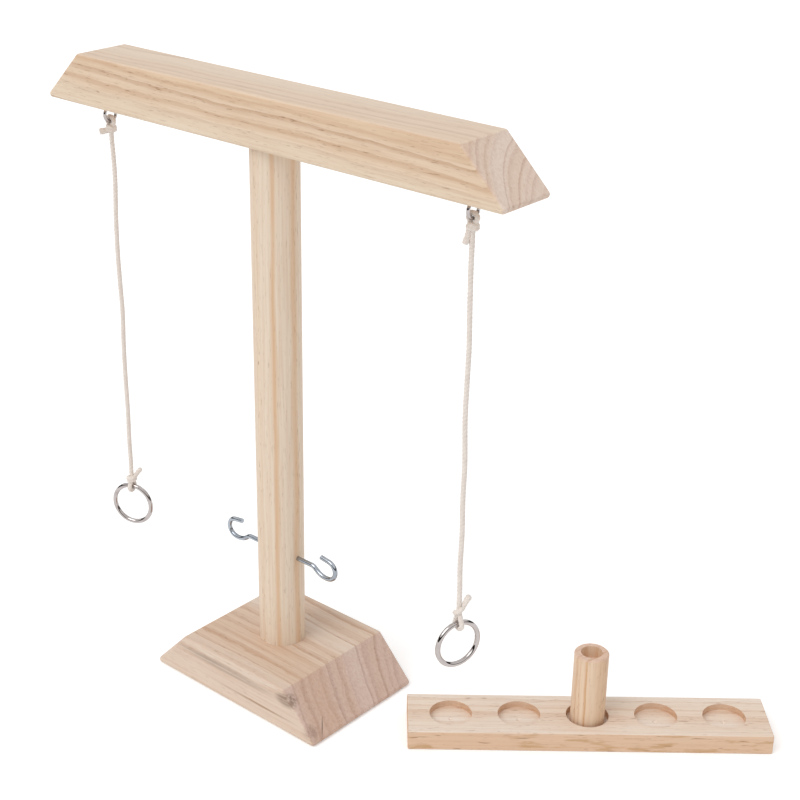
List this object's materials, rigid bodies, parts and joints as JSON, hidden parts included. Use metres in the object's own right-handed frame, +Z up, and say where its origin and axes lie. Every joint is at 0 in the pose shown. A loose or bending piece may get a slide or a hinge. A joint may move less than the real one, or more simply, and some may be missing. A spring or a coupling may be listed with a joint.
{
  "type": "ring toss set",
  "caption": "Wooden tabletop ring toss stand with corded rings and post hooks, plus a score ladder board with round wells and a marker peg.",
  "frame": {"origin": "centre of the base block's underside", "axes": "+Z up the post, +X along the crossbar towards the ladder's side"},
  "size_m": [0.5219, 0.2434, 0.4425],
  "materials": {
    "pine_base": "sanded pine, unfinished",
    "pine_bar": "sanded pine, unfinished",
    "pine_post": "sanded pine dowel, unfinished",
    "pine_ladder": "sanded pine, unfinished",
    "pine_marker": "sanded pine dowel, unfinished",
    "nickel": "bright nickel plate",
    "zinc": "bright zinc plate",
    "insert_brass": "plain brass",
    "cotton": "twisted cotton cord"
  },
  "bodies": {
    "stand": {"base_block": "pine_base", "post": "pine_post", "crossbar": "pine_bar", "lower_hanger_bolt": "zinc", "upper_hanger_bolt": "zinc", "base_insert_nut": "insert_brass", "crossbar_insert_nut": "insert_brass", "left_screw_eye": "nickel", "right_screw_eye": "nickel", "left_screw_hook": "zinc", "right_screw_hook": "zinc"},
    "left_upper_knot": {"left_upper_knot": "cotton"},
    "left_cord": {"left_cord": "cotton"},
    "left_lower_knot": {"left_lower_knot": "cotton"},
    "left_ring": {"left_ring": "nickel"},
    "right_upper_knot": {"right_upper_knot": "cotton"},
    "right_cord": {"right_cord": "cotton"},
    "right_lower_knot": {"right_lower_knot": "cotton"},
    "right_ring": {"right_ring": "nickel"},
    "ladder": {"ladder_board": "pine_ladder"},
    "marker": {"marker": "pine_marker"}
  },
  "joints": [
    {"name": "left_swing", "type": "hinge", "parent": "stand", "child": "left_upper_knot", "pos_m": [-0.163, 0, 0.392], "axis": [0, 1, 0], "range_deg": [-14, 75]},
    {"name": "left_sway", "type": "hinge", "parent": "left_upper_knot", "child": "left_cord", "pos_m": [-0.163, 0, 0.37845], "axis": [1, 0, 0], "range_deg": [-30, 30]},
    {"name": "left_twist", "type": "hinge", "parent": "left_cord", "child": "left_lower_knot", "pos_m": [-0.163, 0, 0.1048], "axis": [0, 0, 1], "range_deg": [-180, 180]},
    {"name": "left_tilt", "type": "hinge", "parent": "left_lower_knot", "child": "left_ring", "pos_m": [-0.163, 0, 0.101], "axis": [0.9397, 0.342, 0], "range_deg": [-90, 90]},
    {"name": "right_swing", "type": "hinge", "parent": "stand", "child": "right_upper_knot", "pos_m": [0.163, 0, 0.392], "axis": [0, -1, 0], "range_deg": [-14, 75]},
    {"name": "right_sway", "type": "hinge", "parent": "right_upper_knot", "child": "right_cord", "pos_m": [0.163, 0, 0.37845], "axis": [1, 0, 0], "range_deg": [-30, 30]},
    {"name": "right_twist", "type": "hinge", "parent": "right_cord", "child": "right_lower_knot", "pos_m": [0.163, 0, 0.1168], "axis": [0, 0, 1], "range_deg": [-180, 180]},
    {"name": "right_tilt", "type": "hinge", "parent": "right_lower_knot", "child": "right_ring", "pos_m": [0.163, 0, 0.113], "axis": [0.309, 0.9511, 0], "range_deg": [-90, 90]},
    {"name": "ladder_slide", "type": "slide", "parent": "stand", "child": "ladder", "axis": [0.7547, 0.6561, 0], "range_m": [0, 0.2]},
    {"name": "marker_lift", "type": "slide", "parent": "ladder", "child": "marker", "axis": [0, 0, 1], "range_m": [0, 0.08]}
  ]
}
